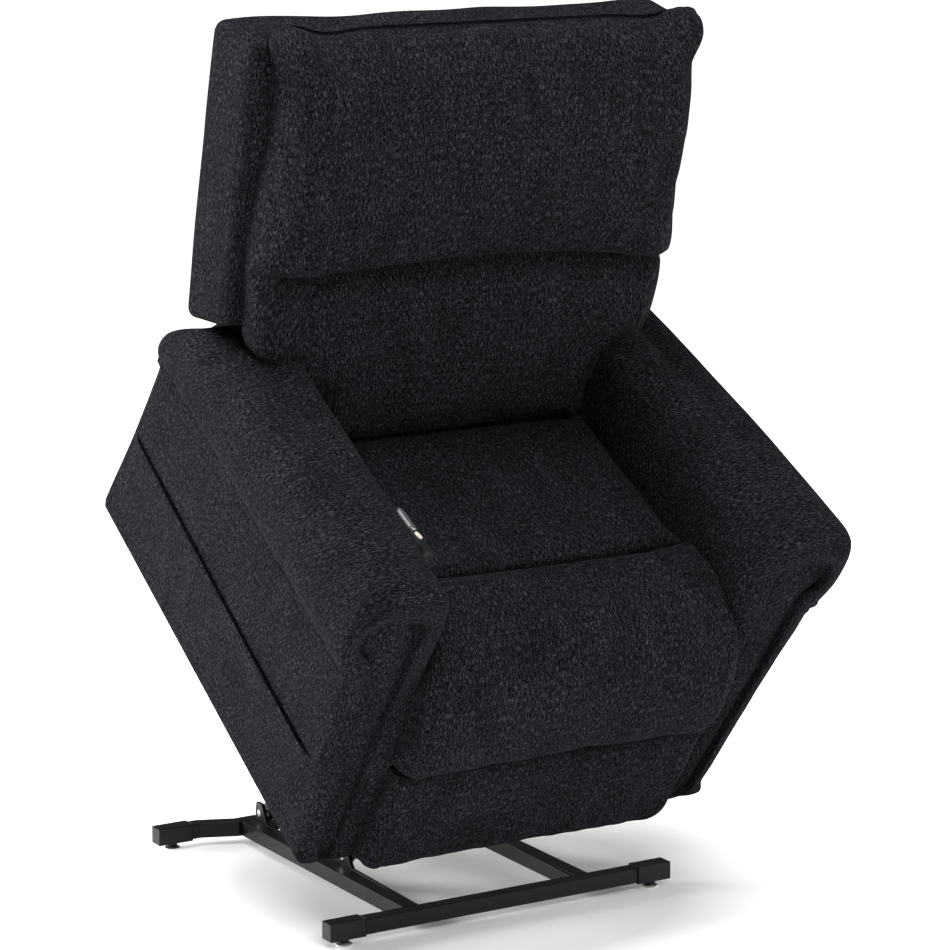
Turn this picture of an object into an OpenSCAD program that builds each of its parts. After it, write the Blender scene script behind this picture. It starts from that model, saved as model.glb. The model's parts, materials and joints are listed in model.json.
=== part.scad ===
// Lift recliner chair, raised and tipped forward for standing up.
// +Z is up, the chair faces -Y, the sitter's right hand is at -X.
// The upper chair is drawn level in its own datum (y back, z up) and
// then carried into the raised pose by raise().

/* [Arms and seat] */
// Half of the clear width between the two arms
seat_half = 268; // [266:1:272]
// Half of the width over the outer side panels at their lower edge
panel_half = 373; // [371:1:376]
// Outward lean of the outer side panels, in degrees
panel_lean = 6; // [5.5:0.1:6]
// Half of the width over the arm pads
pad_half = 429; // [424:1:440]
// Height of the arm pad's top at its front end
arm_top = 640; // [634:1:650]
// Fall of the arm towards the rear, in degrees
arm_slope = 6.4; // [5.8:0.1:6.8]
// Height of the lower edge of the side panels
panel_bottom = 40; // [36:1:44]
// Height of the seat at the seam behind the front roll
seat_seam_z = 477; // [465:1:485]
// Height of the seat where it meets the back
seat_rear_z = 438; // [430:1:446]

/* [Back] */
// Lean of the closed backrest
back_lean = 20; // [19:0.5:21]
// Half of the width of the upholstered outer back
back_half = 394; // [390:1:398]
// Length of the back above its hinge
back_len = 700; // [680:1:710]
// Height of the split between head pillow and lumbar pad
pillow_split = 336; // [328:1:344]

/* [Lift] */
// Forward tilt of the raised chair
lift_tilt = 34; // [33.8:0.1:34.2]
// Height of the base pivots above the floor
pivot_z = 52; // [51:0.5:53]

/* [Base] */
// Side of the square base tube
tube = 25; // [24:0.5:25]
// Distance of each rail from the middle
rail_x = 159; // [158.8:0.1:159.2]
// Distance of each levelling foot from the middle
foot_x = 284; // [278:1:288]
// Diameter of the levelling glide
glide_d = 26; // [22:1:28]

/* [Hidden] */
$fn = 48;
y_shift = 144.3;
raised = [45, 330];
lowered = [-22, 8];
cloth = "#24262d";
cloth2 = "#1f2127";
wood = "#c8a878";
blk = "#1c1c1f";
steel = "#8d9096";
e = 0.02;
// pivots in the chair datum [y, z]
p_lift = [-180, 64];
p_front = [-277, 76];
p_leg = [-255, 230];
p_knee = [-200, 75];
p_foot = [-352, 150];
p_back = [230, 340];
h_lift = [190, 141];
h_leg = [190, 203];
h_back = [-130, 225];
t_rear = [208, 172];
t_mid = [-166, 240];
lift_lever = 90;
lift_swing = 61.9;
leg_lever = 50;
leg_swing = 97.5;
tip_lift = p_lift + lift_lever * [cos(90 - lift_swing / 2), sin(90 - lift_swing / 2)];
tip_leg = p_leg + leg_lever * [cos(-90 + leg_swing / 2), sin(-90 + leg_swing / 2)];
tip_back = [255, 230];
front_y = -282;
rear_y = 303;
rear_mid_y = 279;
zt = 13;
function up(p) = [cos(lift_tilt) * p[0] - sin(lift_tilt) * p[1] + raised[0],
                  sin(lift_tilt) * p[0] + cos(lift_tilt) * p[1] + raised[1]];
function dn(p) = p + lowered;
// base pivot at height z that is as far from the raised as from the lowered place of p
function base_pivot(p, z) = let (a = up(p), b = dn(p), m = (a + b) / 2, d = b - a)
    [m[0] - (z - m[1]) * d[1] / d[0], z];
a_rear = base_pivot(p_lift, pivot_z);
a_front = base_pivot(p_front, pivot_z);
b_rear = up(p_lift);
b_front = up(p_front);
function pad_under(y) = arm_top - 90 - (y + 386) * tan(arm_slope);
// outer face of the side panels at height z, and of the upright wall behind the pad's lap
function panel_x(z) = panel_half + (z - panel_bottom) * tan(panel_lean);
wall_half = 381;
function dir(p, q) = (q - p) / norm(q - p);
function back_pt(q) = p_back + [q[0] * cos(back_lean) + q[1] * sin(back_lean),
                               -q[0] * sin(back_lean) + q[1] * cos(back_lean)];
// the same point measured in the back's own leaning axes
function to_back(p) = let (d = p - p_back)
    [d[0] * cos(back_lean) - d[1] * sin(back_lean), d[0] * sin(back_lean) + d[1] * cos(back_lean)];

// ---- helpers ----
module world() translate([0, y_shift, 0]) children();
module raise() world() translate([0, raised[0], raised[1]]) rotate([lift_tilt, 0, 0]) children();
module back_axes() raise() translate([0, p_back[0], p_back[1]]) rotate([-back_lean, 0, 0]) children();
module ext_x(x0, x1) translate([x0, 0, 0]) rotate([90, 0, 90]) linear_extrude(height = x1 - x0) children();
module ext_y(y0, y1) translate([0, y1, 0]) rotate([90, 0, 0]) linear_extrude(height = y1 - y0) children();
module cyl_x(p, r, x0, x1) translate([x0, p[0], p[1]]) rotate([0, 90, 0]) cylinder(r = r, h = x1 - x0);
module box(a, b) translate(a) cube(b - a);
module flip() mirror([1, 0, 0]) children();
module both() { children(); flip() children(); }
// flat bar with round ends between two points of the y-z plane
module bar(p, q, w, x0, x1, wq = 0) {
    w2 = wq == 0 ? w : wq;
    d = dir(p, q);
    n = [-d[1], d[0]];
    cyl_x(p, w / 2, x0, x1);
    cyl_x(q, w2 / 2, x0, x1);
    ext_x(x0, x1) polygon([p + n * w / 2, p - n * w / 2, q - n * w2 / 2, q + n * w2 / 2]);
}
// square tube outline along x with a wall
module tube_x(x0, x1, y) difference() {
    box([x0, y - tube / 2, zt], [x1, y + tube / 2, zt + tube]);
    box([x0 - 1, y - tube / 2 + 1.6, zt + 1.6], [x1 + 1, y + tube / 2 - 1.6, zt + tube - 1.6]);
}

// ---- floor frame ----
module base_front_tube() color(blk) world() tube_x(-foot_x - 28, foot_x + 28, front_y);

module rear_plan(w) polygon([for (s = [-1, 1]) each (s < 0
    ? [[-foot_x - 28, rear_y - w], [-236, rear_y - w], [-178, rear_mid_y - w]]
    : [[178, rear_mid_y - w], [236, rear_y - w], [foot_x + 28, rear_y - w]]),
    [foot_x + 28, rear_y + w], [233, rear_y + w], [175, rear_mid_y + w],
    [-175, rear_mid_y + w], [-233, rear_y + w], [-foot_x - 28, rear_y + w]]);
module base_rear_tube() color(blk) world() difference() {
    translate([0, 0, zt]) linear_extrude(height = tube) rear_plan(tube / 2);
    translate([0, 0, zt + 1.6]) linear_extrude(height = tube - 3.2) rear_plan(tube / 2 - 1.6);
}

module rail() color(blk) world() difference() {
    box([rail_x - tube / 2, front_y + tube / 2, zt], [rail_x + tube / 2, rear_mid_y - tube / 2, zt + tube]);
    box([rail_x - tube / 2 + 1.6, front_y - 1, zt + 1.6], [rail_x + tube / 2 - 1.6, rear_mid_y + 1, zt + tube - 1.6]);
}
module base_rail_left() rail();
module base_rail_right() flip() rail();

// upright angle plate along the inner side of each rail, raised at the two pivots
module base_brackets() color(blk) world() both() difference() {
    ext_x(140.5, rail_x - tube / 2) polygon([[front_y + 14, 14], [rear_mid_y - 14, 14], [rear_mid_y - 14, 58],
        [a_rear[0] + 8, 70], [a_rear[0] - 10, 70], [a_rear[0] - 30, 38], [a_front[0] + 32, 38],
        [a_front[0] + 14, 68], [a_front[0] - 14, 68], [a_front[0] - 34, 40], [front_y + 14, 36]]);
    cyl_x(a_rear, 6 + e, 139, 150);
    cyl_x(a_front, 6 + e, 139, 150);
}

module cap(x0, x1, y) difference() {
    union() {
        box([x0, y - tube / 2 - 2, zt - 2], [x1, y + tube / 2 + 2, zt + tube + 2]);
        translate([foot_x, y, 5.6]) cylinder(d = 17, h = zt - 7);
    }
    box([x0 - 1, y - tube / 2, zt], [foot_x + 28, y + tube / 2, zt + tube]);
    translate([foot_x, y, 0]) cylinder(d = 8.1, h = zt + 1);
}
module base_end_caps() color("#161618") world() both() {
    cap(foot_x - 32, foot_x + 31, front_y);
    cap(foot_x - 32, foot_x + 31, rear_y);
}

// shoulder bolts on which the lift links swing
module lift_pivot_bolts() color(steel) world() both() {
    cyl_x(a_rear, 6, 122.5, 146);
    cyl_x(a_rear, 9, 129.6, 140.2);
    cyl_x(a_rear, 9, 119.9, 122.6);
    cyl_x(a_front, 6, 132.4, 146);
    cyl_x(a_front, 9, 130, 132.5);
}

module glide(x, y) color("silver") world() translate([x, y, 0]) {
    rotate_extrude() polygon([[0, 0], [glide_d / 2 - 2, 0], [glide_d / 2, 1.2], [glide_d / 2, 2.4], [glide_d / 2 - 3, 4.4],
        [7, 5.2], [0, 5.2]]);
    cylinder(d = 8, h = zt - 1);
}
module foot_front_left() glide(foot_x, front_y);
module foot_front_right() glide(-foot_x, front_y);
module foot_rear_left() glide(foot_x, rear_y);
module foot_rear_right() glide(-foot_x, rear_y);

// ---- lift linkage ----
module rear_link() color(blk) world() difference() {
    bar(a_rear, b_rear, 32, 123, 129, 48);
    cyl_x(a_rear, 6.05, 120, 131);
    cyl_x(b_rear, 15 + e, 120, 131);
}
module rear_lift_link_left() rear_link();
module rear_lift_link_right() flip() rear_link();
// torque tube through the carriage plates, with the lever that the lift rod pulls
module lift_cross_tube() color(blk) {
    world() difference() {
        cyl_x(b_rear, 15, -130, 130);
        cyl_x(b_rear, 12.5, -131, 131);
    }
    raise() difference() {
        union() {
            bar(p_lift, tip_lift, 25, -4.5, 4.5, 20);
            cyl_x(tip_lift, 4, -14, 14);
        }
        cyl_x(p_lift, 14, -6, 6);
    }
}
module front_link() color(blk) world() difference() {
    bar(a_front, b_front, 32, 133, 139, 54);
    cyl_x(a_front, 6.05, 130, 141);
    cyl_x(b_front, 19, 130, 141);
}
module front_lift_link_left() front_link();
module front_lift_link_right() flip() front_link();

// ---- linear actuators, drawn along +y from their rear pivot ----
module along(h, tip, x) raise() translate([x, h[0], h[1]])
    rotate([atan2(tip[1] - h[1], tip[0] - h[0]), 0, 0]) children();
module act_body(len, side) {
    difference() {
        union() {
            box([-9, -15, -14], [9, 16, 14]);
            box([-24, 15, -26], [24, 92, 26]);
            box([-21, 24, side > 0 ? 20 : -66], [21, 70, side > 0 ? 66 : -20]);
            translate([0, 60, side * 46]) rotate([-90, 0, 0]) cylinder(r = 20, h = 96);
            translate([0, 156, side * 46]) rotate([-90, 0, 0]) cylinder(r = 7, h = 6);
            translate([0, 90, 0]) rotate([-90, 0, 0]) cylinder(r = 16, h = len - 90);
        }
        cyl_x([0, 0], 5.05, -20, 20);
        translate([0, 100, 0]) rotate([-90, 0, 0]) cylinder(r = 10.06, h = len);
    }
}
// the slotted fork lets the lever pin move across the rod by lo and hi
module act_rod(inner, len, lo, hi) {
    difference() {
        union() {
            translate([0, inner, 0]) rotate([-90, 0, 0]) cylinder(r = 10, h = len - 42 - inner);
            box([-11.5, len - 50, -11], [11.5, len - 36, 11]);
            box([-11.5, len - 37, -lo - 11], [11.5, len + 14, hi + 11]);
        }
        box([-6, len - 40, -lo - 13], [6, len + 15, hi + 13]);
        box([-13, len - 6.5, -lo], [13, len + 6.5, hi]);
        cyl_x([len, hi], 6.5, -13, 13);
        cyl_x([len, -lo], 6.5, -13, 13);
    }
}
module lift_motor() color("#2a2a2d") along(h_lift, tip_lift, 0) act_body(266, 1);
module lift_rod() color("silver") along(h_lift, tip_lift, 0) act_rod(112, norm(tip_lift - h_lift), 11, 3);
module legrest_motor() color("#2a2a2d") along(h_leg, tip_leg, -75) act_body(348, 1);
module legrest_rod() color("silver") along(h_leg, tip_leg, -75) act_rod(200, norm(tip_leg - h_leg), 3, 15);
module recline_motor() color("#2a2a2d") along(h_back, tip_back, 75) act_body(260, -1);
module recline_rod() color("silver") along(h_back, tip_back, 75) act_rod(186, norm(tip_back - h_back), 5, 3);

// ---- carriage under the seat ----
module carriage_plates() color(blk) raise() both() difference() {
    ext_x(113, 119) polygon([[-302, 92], [-294, 60], [-268, 52], [-212, 40], [-164, 36], [-146, 48], [-60, 148],
        [188, 148], [226, 156], [232, 172], [226, 192], [190, 254], [-286, 254], [-302, 240]]);
    cyl_x(p_lift, 15.05, 110, 122);
    cyl_x(p_leg, 12.05, 110, 122);
    cyl_x(p_front, 12 + e, 110, 122);
    cyl_x(t_rear, 12 + e, 110, 122);
    cyl_x(t_mid, 11 + e, 110, 122);
}
module motor_ears(t, h, x) both_at(x) {
    bar(t, h, 22, 10, 16);
    cyl_x(h, 5, 0, 17);
}
module both_at(x) { translate([x, 0, 0]) children(); translate([x, 0, 0]) flip() children(); }
module carriage_cross_tubes() color(blk) raise() {
    difference() { cyl_x(p_front, 12, -141, 141); cyl_x(p_front, 10, -150, 150); }
    difference() {
        union() {
            cyl_x(t_rear, 12, -120, 120);
            motor_ears(t_rear, h_lift, 0);
            motor_ears(t_rear, h_leg, -75);
        }
        cyl_x(t_rear, 10, -150, 150);
    }
    difference() {
        union() {
            cyl_x(t_mid, 11, -120, 120);
            motor_ears(t_mid, h_back, 75);
        }
        cyl_x(t_mid, 9, -150, 150);
    }
}
bolt_x = [304, 348];
bar_y = [-170, 90];
module frame_cross_bars() color(blk) raise() difference() {
    for (y = bar_y) box([-365, y - 16, 254], [365, y + 16, 260]);
    for (y = bar_y, x = bolt_x, s = [-1, 1]) translate([s * x, y, 250]) cylinder(d = 8.4, h = 14);
}
module arm_bolts() color("silver") raise() for (y = bar_y, x = bolt_x, s = [-1, 1]) translate([s * x, y, 0]) {
    translate([0, 0, 260]) cylinder(d = 15, h = 2);
    translate([0, 0, 261.5]) cylinder(d = 13, h = 6, $fn = 6);
    translate([0, 0, 226]) cylinder(d = 8, h = 35);
}
module seat_side_rails() color(wood) raise() both() box([236, -376, 260], [260, 104, 340]);
module seat_end_rails() color(wood) raise() {
    box([-236, -376, 264], [236, -352, 340]);
    box([-229, 80, 260], [229, 104, 340]);
}
// zigzag spring strips between the front and rear rails
module zig(x, n, w, a) polygon([for (i = [0 : n]) [x + (i % 2 == 0 ? -a : a) - w, -364 + i * (456 / n)],
    for (i = [n : -1 : 0]) [x + (i % 2 == 0 ? -a : a) + w, -364 + i * (456 / n)]]);
module seat_springs() color(steel) raise() for (x = [-180, -90, 0, 90, 180])
    translate([0, 0, 340]) linear_extrude(height = 4) zig(x, 18, 2.6, 22);

module seat_cushion() color(cloth) raise() ext_x(-259, 259) polygon([[-237, 346], [112, 346], [112, 400],
    [96, seat_rear_z - 4], [20, seat_rear_z + 14], [-120, seat_seam_z - 10], [-237, seat_seam_z]]);
module front_bolster() color(cloth2) raise() ext_x(-266, 266) polygon([[-238, 346], [-238, seat_seam_z],
    [-296, seat_seam_z + 6], [-360, seat_seam_z - 5], [-408, 446], [-436, 400], [-443, 345], [-439, 296], [-424, 264],
    [-398, 258], [-378, 264], [-378, 344], [-366, 346]]);

// ---- arms, drawn for the sitter's left ----
module arm_frame() color(wood) raise() difference() {
    union() {
        box([284, -364, 44], [366, -322, pad_under(-322) - 2]);
        box([284, 300, 44], [366, 340, pad_under(340) - 2]);
        box([284, -323, 44], [366, 301, 84]);
        box([284, -323, 214], [366, 301, 254]);
        ext_x(284, 366) polygon([[-323, pad_under(-323) - 44], [301, pad_under(301) - 44],
            [301, pad_under(301) - 2], [-323, pad_under(-323) - 2]]);
    }
    for (y = bar_y, x = bolt_x) translate([x, y, 220]) cylinder(d = 8.04, h = 40);
}
module arm_frame_left() arm_frame();
module arm_frame_right() flip() arm_frame();
module arm_outer() color(cloth) raise() {
    intersection() {
        ext_y(-365, 392) polygon([[367, panel_bottom], [panel_x(panel_bottom), panel_bottom], [panel_x(500), 500], [367, 500]]);
        ext_x(366, 440) polygon([[-365, panel_bottom], [388, panel_bottom], [378, 233], [356, pad_under(356) - 62],
            [-365, pad_under(-365) - 62]]);
    }
    ext_x(367, wall_half) polygon([[-365, pad_under(-365) - 63], [356, pad_under(356) - 63], [348, pad_under(348) - 1],
        [-365, pad_under(-365) - 1]]);
    ext_x(seat_half, 368) polygon([[375, panel_bottom], [388, panel_bottom], [378, 233], [348, pad_under(348) - 1],
        [341, pad_under(341) - 1.6], [366, 233]]);
}
module arm_outer_panel_left() arm_outer();
module arm_outer_panel_right() flip() arm_outer();
module arm_inner() color(cloth2) raise() ext_x(seat_half, 283) polygon([[-365, 262], [340, 262],
    [340, pad_under(340) - 1], [-365, pad_under(-365) - 1]]);
module arm_inner_panel_left() arm_inner();
module arm_inner_panel_right() flip() arm_inner();
module arm_front() color(cloth2) raise() ext_y(-384, -365.3) polygon([[seat_half, panel_bottom], [panel_half, panel_bottom],
    [panel_x(480), 480], [wall_half, 482], [wall_half, pad_under(-366) - 1], [seat_half, pad_under(-366) - 1]]);
module arm_front_panel_left() arm_front();
module arm_front_panel_right() flip() arm_front();
// padded top that laps over the outer side
module arm_pad() color(cloth) raise() translate([0, -386, arm_top]) rotate([-arm_slope, 0, 0]) {
    ext_y(0, 706) polygon([[seat_half - 2, -90], [seat_half - 2, -46], [seat_half + 8, -20], [seat_half + 30, -5],
        [seat_half + 70, 0], [pad_half - 44, -4], [pad_half - 18, -20], [pad_half - 4, -48], [pad_half, -90],
        [pad_half - 5, -130], [pad_half - 22, -148], [wall_half + 6, -142], [wall_half + 0.6, -130], [wall_half + 0.6, -90]]);
}
module arm_pad_left() arm_pad();
// the sitter's right pad is cut out for the switch pod
module arm_pad_right() color(cloth) difference() {
    flip() arm_pad();
    pod_at() translate([0, 0, -0.4]) linear_extrude(height = 60) pod_shape(108.8, 38.8);
}
module side_pocket() color(cloth2) raise() flip() intersection() {
    ext_y(-336, 392) polygon([[panel_x(62) + e, 62], [panel_x(62) + 4, 62], [panel_x(232) + 4, 232], [panel_x(232) + e, 232]]);
    ext_x(366, 440) polygon([[-336, 61], [384, 61], [377, 233], [-336, 233]]);
}

// ---- arm switch pod on the sitter's right arm ----
// let into the inner edge of the pad, its face turned up and inwards
pod = [-219, 567];
pod_tilt = 55;
pod_fall = 5.5;
module pod_shape(l, h) { translate([-l / 2 + h / 2, 0]) circle(d = h); translate([l / 2 - h / 2, 0]) circle(d = h);
    translate([-l / 2 + h / 2, -h / 2]) square([l - h, h]); }
module pod_at() raise() flip() translate([seat_half - 3, pod[0], pod[1]]) rotate([-pod_fall, 0, 0])
    rotate([0, pod_tilt - 90, 0]) rotate([0, 0, 90]) children();
module control_bezel() color("#232326") pod_at() {
    difference() {
        linear_extrude(height = 10) pod_shape(108, 38);
        translate([24, 0, 2]) linear_extrude(height = 12) pod_shape(52, 17);
        translate([-14, 0, 2]) cylinder(d = 14.6, h = 12);
        translate([24, 12, 6]) rotate([90, 0, 0]) cylinder(r = 1.66, h = 24);
    }
    // foot of the housing below the plate, down to the arm
    translate([-40, 0, 0]) rotate([90, 0, 90]) linear_extrude(height = 80) polygon([[2, 1], [18, 1], [18, -6], [8, -12]]);
}
module recline_rocker() color("silver") pod_at() {
    translate([24, 0, 4.6]) linear_extrude(height = 8) pod_shape(50, 15.6);
    translate([24, 11, 6]) rotate([90, 0, 0]) cylinder(r = 1.6, h = 22);
}
module lift_button() color("#e6e0cf") pod_at() translate([-14, 0, 4.4]) cylinder(d = 13.8, h = 8);

// electronics box with the low-voltage inlet in its rear face
module control_box() color("#202023") raise() difference() {
    box([-37, -6, 205], [37, 74, 253]);
    translate([0, 75, 229]) rotate([90, 0, 0]) cylinder(d = 5.6, h = 13);
}

// ---- backrest ----
module back_hinge_ears() color(blk) raise() both() difference() {
    ext_x(229.4, 235.8) polygon([[30, 264], [100, 264], [244, 322], [252, 340], [244, 356], [230, 361], [214, 358],
        [100, 336], [30, 336]]);
    cyl_x(p_back, 6 + e, 226, 240);
}
module back_hinge_pins() color(steel) raise() both() {
    cyl_x(p_back, 6, 228, 256.4);
    cyl_x(p_back, 10, 256.3, 259.4);
    cyl_x(p_back, 10, 226, 228.1);
}
module back_brackets() color(blk) back_axes() both() difference() {
    union() {
        cyl_x([0, 0], 18, 250.4, 255.6);
        ext_x(250.4, 255.6) polygon([[-18, 0], [18, 0], [6, 60], [6, 170], [-34, 170], [-34, 60]]);
    }
    cyl_x([0, 0], 6.05, 240, 270);
}
lever_tip = to_back(tip_back);
module back_lever() color(blk) back_axes() {
    ext_x(71, 79) polygon([[-102, 40], [-62, 40], lever_tip + [12, 8], lever_tip + [-2, -13], lever_tip + [-12, -6]]);
    cyl_x(lever_tip, 12, 71, 79);
    cyl_x(lever_tip, 4, 61, 89);
}
module back_frame() color(wood) back_axes() {
    both() box([210, -104, 30], [250, 9, back_len - 18]);
    box([-210, -104, 40], [210, -60, 84]);
    box([-210, -104, 300], [210, -72, 340]);
    box([-210, -104, back_len - 60], [210, -60, back_len - 18]);
}
module back_wings() color(cloth) back_axes() both() ext_x(250.4, back_half)
    polygon([[-105, 250], [9.6, 250], [9.6, back_len - 17.6], [-105, back_len - 17.6]]);
module back_shell() color(cloth) back_axes() {
    ext_y(10, 25.5) polygon([[-249, 34], [249, 34], [249, 250], [back_half, 250], [back_half, back_len],
        [-back_half, back_len], [-back_half, 250], [-249, 250]]);
    box([-back_half, -105, back_len - 17], [back_half, 10, back_len]);
}
module head_cushion() color(cloth2) back_axes() ext_x(-366, 366) polygon([[-105.5, pillow_split + 1], [-150, pillow_split + 1],
    [-172, pillow_split + 40], [-180, pillow_split + 140], [-174, 600], [-158, 680], [-130, back_len + 12], [-105.5, back_len + 8]]);
module lumbar_cushion() color(cloth) back_axes() ext_y(-158, -105.5) polygon([[-250, 46], [250, 46], [254, 185], [300, 215],
    [350, 234], [360, pillow_split], [-360, pillow_split], [-350, 234], [-300, 215], [-254, 185]]);

// ---- legrest ----
module legrest_crank() color(blk) raise() {
    difference() { cyl_x(p_leg, 12, -211, 211); cyl_x(p_leg, 10, -199, 199); }
    both() {
        bar(p_leg, p_knee, 30, 205, 211, 26);
        cyl_x(p_knee, 5, 205, 220.5);
    }
    difference() {
        union() {
            translate([-75, 0, 0]) bar(p_leg, tip_leg, 28, -4.5, 4.5, 18);
            cyl_x(tip_leg, 4, -89, -61);
        }
        cyl_x(p_leg, 11, -90, -60);
    }
}
module legrest_links() color(blk) raise() both() difference() {
    bar(p_knee, p_foot, 26, 213, 219);
    cyl_x(p_knee, 5.05, 200, 230);
    cyl_x(p_foot, 5.05, 200, 230);
}
module legrest_brackets() color(blk) raise() both() {
    ext_x(221, 227) polygon([[-372, 110], [-366, 110], [-340, 136], [-338, 150], [-340, 164], [-366, 190], [-372, 190]]);
    box([200, -372.6, 108], [240, -368, 192]);
    cyl_x(p_foot, 5, 212, 224);
}
module legrest_board() color(wood) raise() box([-246, -388, 52], [246, -373, 234]);
module legrest_cushion() color(cloth) raise() ext_x(-264, 264) polygon([[-388.4, 44], [-410, 42], [-421, 56], [-424, 140],
    [-419, 224], [-408, 242], [-388.4, 240]]);

// ---- drawing ----
base_front_tube();
base_rear_tube();
base_rail_right();
base_rail_left();
base_brackets();
base_end_caps();
lift_pivot_bolts();
foot_front_right();
foot_front_left();
foot_rear_right();
foot_rear_left();
rear_lift_link_right();
rear_lift_link_left();
lift_cross_tube();
front_lift_link_right();
front_lift_link_left();
lift_motor();
lift_rod();
carriage_plates();
carriage_cross_tubes();
frame_cross_bars();
arm_bolts();
seat_side_rails();
seat_end_rails();
seat_springs();
seat_cushion();
front_bolster();
arm_frame_right();
arm_frame_left();
arm_outer_panel_right();
arm_outer_panel_left();
arm_inner_panel_right();
arm_inner_panel_left();
arm_front_panel_right();
arm_front_panel_left();
arm_pad_right();
arm_pad_left();
side_pocket();
control_bezel();
recline_rocker();
lift_button();
control_box();
back_hinge_ears();
back_hinge_pins();
back_brackets();
back_lever();
back_frame();
back_wings();
back_shell();
head_cushion();
lumbar_cushion();
legrest_crank();
legrest_links();
legrest_brackets();
legrest_board();
legrest_cushion();
legrest_motor();
legrest_rod();
recline_motor();
recline_rod();
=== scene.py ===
import json
import math

import bmesh
import bpy
import numpy as np
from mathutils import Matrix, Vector


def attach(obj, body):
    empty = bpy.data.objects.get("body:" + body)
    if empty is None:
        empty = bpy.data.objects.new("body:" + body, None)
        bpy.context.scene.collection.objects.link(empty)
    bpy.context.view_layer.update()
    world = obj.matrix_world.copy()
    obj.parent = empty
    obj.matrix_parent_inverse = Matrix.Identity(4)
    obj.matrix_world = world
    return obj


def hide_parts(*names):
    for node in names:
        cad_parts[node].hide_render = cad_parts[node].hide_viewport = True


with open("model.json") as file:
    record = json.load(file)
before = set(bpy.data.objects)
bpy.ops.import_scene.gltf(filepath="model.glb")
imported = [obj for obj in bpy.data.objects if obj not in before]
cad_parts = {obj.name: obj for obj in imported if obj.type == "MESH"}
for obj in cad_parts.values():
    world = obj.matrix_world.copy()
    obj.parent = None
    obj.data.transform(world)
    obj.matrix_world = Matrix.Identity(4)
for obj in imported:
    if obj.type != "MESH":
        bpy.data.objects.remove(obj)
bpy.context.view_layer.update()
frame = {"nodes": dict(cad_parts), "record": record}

nodes = frame["nodes"]

# ---------------------------------------------------------------- places
# Soft pieces are drawn in millimetres in the level chair (x to the sitter's left, y back, z up) or in the leaning
# back (x, y rearwards, v up along the back from its hinge), and carried into the raised pose from there.
TILT, LEAN = math.radians(34.0), math.radians(20.0)


def chair(p):
    x, y, z = np.asarray(p, float).T
    return np.stack([x, math.cos(TILT) * y - math.sin(TILT) * z + 189.3, math.sin(TILT) * y + math.cos(TILT) * z + 330.0], 1) / 1000


def back(p):
    x, y, v = np.asarray(p, float).T
    return chair(np.stack([x, 230 + y * math.cos(LEAN) + v * math.sin(LEAN), 340 - y * math.sin(LEAN) + v * math.cos(LEAN)], 1))


# ---------------------------------------------------------------- numbers
def _hash(i, j, k, seed):
    n = (i * 374761393 + j * 668265263 + k * 1103515245 + seed * 97463477 + 12345) & 0xFFFFFFFF
    n = ((n ^ (n >> 13)) * 1274126177) & 0xFFFFFFFF
    return ((n ^ (n >> 16)) & 0xFFFF) / 32767.5 - 1.0


def wob(p, size, seed=0):
    """Smooth noise from about -1 to 1, with features about size long (a number or three)."""
    q = np.asarray(p, float) / np.asarray(size, float)
    i = np.floor(q).astype(np.int64)
    f = q - i
    f = f * f * f * (f * (f * 6 - 15) + 10)
    out = 0
    for a in (0, 1):
        for b in (0, 1):
            for c in (0, 1):
                w = (f[:, 0] if a else 1 - f[:, 0]) * (f[:, 1] if b else 1 - f[:, 1]) * (f[:, 2] if c else 1 - f[:, 2])
                out = out + w * _hash(i[:, 0] + a, i[:, 1] + b, i[:, 2] + c, seed)
    return out


def wob2(u, v, su, sv, seed=0):
    return wob(np.stack([u / su, v / sv, np.zeros_like(u) + 0.37], 1), 1.0, seed)


def step(a, b, x):
    t = np.clip((np.asarray(x, float) - a) / (b - a), 0, 1)
    return t * t * (3 - 2 * t)


def bell(x, w):
    return np.exp(-((x / w) ** 2))


def drop(d, r):
    """How far a round edge of radius r has fallen at distance d from it."""
    e = np.clip(1 - d / np.maximum(r, 1e-6), 0, 1)
    return r * (1 - np.sqrt(np.maximum(1 - e * e, 0)))


def spline(keys, closed=False, fine=5.0, coarse=14.0, part=0):
    """Points along a smooth line through keys of any dimension. Long straight stretches get fewer points."""
    k = np.array(keys, float)
    n = len(k)
    out = []
    for i in range(n if closed else n - 1):
        p1, p2 = k[i], k[(i + 1) % n]
        p0 = k[(i - 1) % n] if closed or i > 0 else 2 * p1 - p2
        p3 = k[(i + 2) % n] if closed or i + 2 < n else 2 * p2 - p1
        d = [max(np.linalg.norm(b[:2] - a[:2]), 1e-6) ** 0.5 for a, b in ((p0, p1), (p1, p2), (p2, p3))]
        t0, t1, t2, t3 = 0, d[0], d[0] + d[1], d[0] + d[1] + d[2]
        length = d[1] ** 2
        count = max(1, int(round(length / (fine if length < 45 else coarse)))) if not part else part
        for t in np.linspace(t1, t2, count, endpoint=False):
            a1 = (t1 - t) / (t1 - t0) * p0 + (t - t0) / (t1 - t0) * p1
            a2 = (t2 - t) / (t2 - t1) * p1 + (t - t1) / (t2 - t1) * p2
            a3 = (t3 - t) / (t3 - t2) * p2 + (t - t2) / (t3 - t2) * p3
            b1 = (t2 - t) / (t2 - t0) * a1 + (t - t0) / (t2 - t0) * a2
            b2 = (t3 - t) / (t3 - t1) * a2 + (t - t1) / (t3 - t1) * a3
            out.append((t2 - t) / (t2 - t1) * b1 + (t - t1) / (t2 - t1) * b2)
    if not closed:
        out.append(k[-1])
    return np.array(out)


def along(points):
    """Length run along a line of points."""
    d = np.linalg.norm(np.diff(points, axis=0), axis=1)
    return np.concatenate([[0], np.cumsum(d)])


def table(keys):
    k = np.array(keys, float)
    fine = spline(k, part=12)
    order = np.argsort(fine[:, 0])
    return lambda x: np.interp(x, fine[order, 0], fine[order, 1])


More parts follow.
